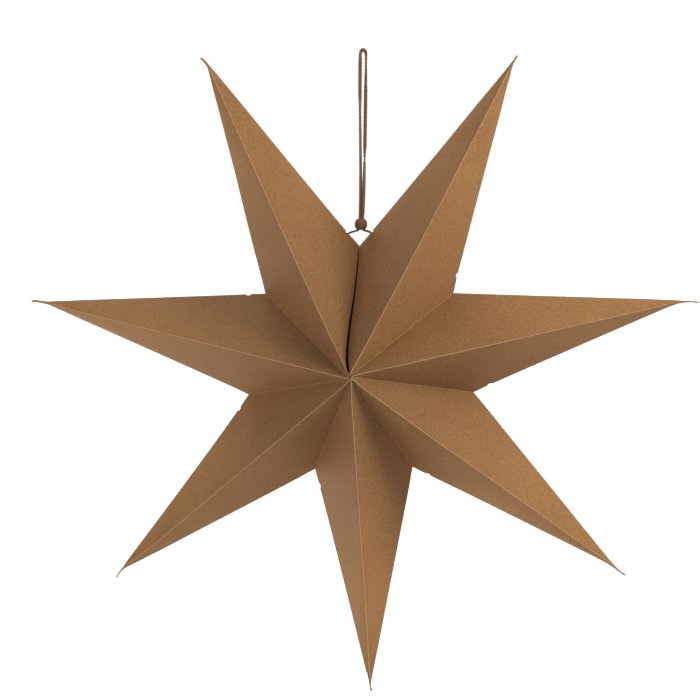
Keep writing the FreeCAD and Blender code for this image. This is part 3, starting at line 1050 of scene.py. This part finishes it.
def cord_knot(name, centre, material):
    """A tight overhand knot of the cord's end, drawn to a ball."""
    path = []
    for corner in range(KNOT_CORNERS):
        turn = math.tau * corner / KNOT_CORNERS
        place = Vector((
            math.sin(turn) + 2 * math.sin(2 * turn),
            math.cos(turn) - 2 * math.cos(2 * turn),
            -1.4 * math.sin(3 * turn)))
        path.append(Vector(centre) * MM + place / 3 * KNOT_SIZE)
    mesh = curve_mesh("cord_knot_" + name, [path], KNOT_YARN, closed=True)
    return placed_piece(mesh.name, mesh, material)


def turned_bead(material):
    """A slightly flat ball turned round its bore, with rounded lips."""
    bm = bmesh.new()
    outline = []
    lean = math.asin((BEAD_BORE + BEAD_LIP) / BEAD_RADIUS) * BEAD_LAND
    for step in range(BEAD_SIDE_STEPS + 1):
        angle = (math.pi - 2 * lean) * (step / BEAD_SIDE_STEPS - 0.5)
        height = BEAD_HALF_HEIGHT * math.sin(angle) / math.cos(lean)
        outline.append((BEAD_RADIUS * math.cos(angle), height))
    for step in range(1, BEAD_LIP_STEPS + 1):
        angle = math.radians(90 * step / BEAD_LIP_STEPS)
        height = BEAD_HALF_HEIGHT - BEAD_LIP * (1 - math.cos(angle))
        outline.append((BEAD_BORE + BEAD_LIP * (1 - math.sin(angle)), height))
    for step in range(BEAD_LIP_STEPS):
        angle = math.radians(90 * step / BEAD_LIP_STEPS)
        height = -BEAD_HALF_HEIGHT + BEAD_LIP * (1 - math.sin(angle))
        outline.append((BEAD_BORE + BEAD_LIP * (1 - math.cos(angle)), height))
    verts = [bm.verts.new((radius, 0, height)) for radius, height in outline]
    edges = [bm.edges.new(pair) for pair in zip(verts, verts[1:] + verts[:1])]
    bmesh.ops.spin(
        bm, geom=verts + edges, cent=(0, 0, 0), axis=(0, 0, 1), angle=math.tau,
        steps=BEAD_SPIN_STEPS, use_merge=True)
    bmesh.ops.remove_doubles(bm, verts=bm.verts, dist=CUT_NEAR)
    bmesh.ops.recalc_face_normals(bm, faces=bm.faces)
    bmesh.ops.translate(bm, verts=bm.verts, vec=BEAD_CENTRE)
    mesh = bpy.data.meshes.new("wooden_bead")
    bm.to_mesh(mesh)
    bm.free()
    return placed_piece("wooden_bead", mesh, material, "cord_bead")


def white_floor():
    """A pale floor far below the hung star, white to the camera where no shadow falls."""
    bm = bmesh.new()
    bmesh.ops.create_grid(bm, x_segments=1, y_segments=1, size=FLOOR_HALF_SIZE)
    bmesh.ops.translate(bm, verts=bm.verts, vec=(0, 0, FLOOR_Z))
    mesh = bpy.data.meshes.new("floor")
    bm.to_mesh(mesh)
    bm.free()
    mat = bpy.data.materials.new("pale_floor")
    mat.use_nodes = True
    n = Nodes(mat.node_tree)
    mat.node_tree.nodes.remove(mat.node_tree.nodes["Principled BSDF"])
    surface = n.add("ShaderNodeBsdfDiffuse")
    surface.inputs["Color"].default_value = FLOOR_COLOUR
    glow = n.add("ShaderNodeEmission")
    n.join(seen_directly(n), glow.inputs["Strength"])
    both = n.add("ShaderNodeAddShader")
    n.join(surface.outputs[0], both.inputs[0])
    n.join(glow.outputs[0], both.inputs[1])
    n.join(both.outputs[0], mat.node_tree.nodes["Material Output"].inputs["Surface"])
    mesh.materials.append(mat)
    floor = bpy.data.objects.new("floor", mesh)
    bpy.context.collection.objects.link(floor)


def seen_directly(n):
    """1 where the camera sees a thing itself or in a shine, and 0 where it only gives light."""
    path = n.add("ShaderNodeLightPath")
    seen = n.math("MAXIMUM", path.outputs["Is Camera Ray"], path.outputs["Is Glossy Ray"])
    return n.math("MAXIMUM", seen, path.outputs["Is Transmission Ray"])


def white_room():
    """Soft light from all round, in front of a plain white background."""
    world = bpy.data.worlds.new("white_room")
    world.use_nodes = True
    n = Nodes(world.node_tree)
    sky = world.node_tree.nodes["Background"]
    seen = seen_directly(n)
    n.join(n.blend(seen, ROOM_COLOUR, (1, 1, 1, 1)), sky.inputs["Color"])
    n.join(n.spread(seen, 0, 1, ROOM_LIGHT, 1), sky.inputs["Strength"])
    bpy.context.scene.world = world


def area_lamp(name, place, target, size, power, colour):
    lamp = bpy.data.lights.new(name, "AREA")
    lamp.shape = "DISK"
    lamp.size = size
    lamp.energy = power
    lamp.color = colour
    obj = bpy.data.objects.new(name, lamp)
    obj.location = place
    obj.rotation_euler = (Vector(target) - Vector(place)).to_track_quat("-Z", "Y").to_euler()
    bpy.context.collection.objects.link(obj)


def camera():
    cam = bpy.data.cameras.new("photo_camera")
    cam.lens = LENS_MM
    cam.sensor_width = SENSOR_WIDTH_MM
    obj = bpy.data.objects.new("photo_camera", cam)
    look = CAMERA_LOOK.normalized()
    right = look.cross(CAMERA_UP).normalized()
    up = right.cross(look)
    turn = Matrix((right, up, -look)).transposed()
    obj.matrix_world = Matrix.Translation(CAMERA_PLACE) @ turn.to_4x4()
    bpy.context.collection.objects.link(obj)
    bpy.context.scene.camera = obj


FIBRE = fibre_group()
CARD = kraft_card(FIBRE)
CORD = cord_cotton(FIBRE)
for index in range(len(POINT_NAMES)):
    card_point(index, CARD)
BEAD = turned_bead(bead_wood(FIBRE))
BRAID, CORD_LINE = braided_cord(CORD)
KNOTS = [cord_knot(name, centre, CORD) for name, centre in KNOT_CENTRES.items()]

white_floor()
white_room()
camera()
for lamp_name, (place, width, power, colour) in LAMPS.items():
    area_lamp(lamp_name, place, LAMP_TARGET, width, power, colour)
bpy.context.scene.view_settings.view_transform = "Standard"
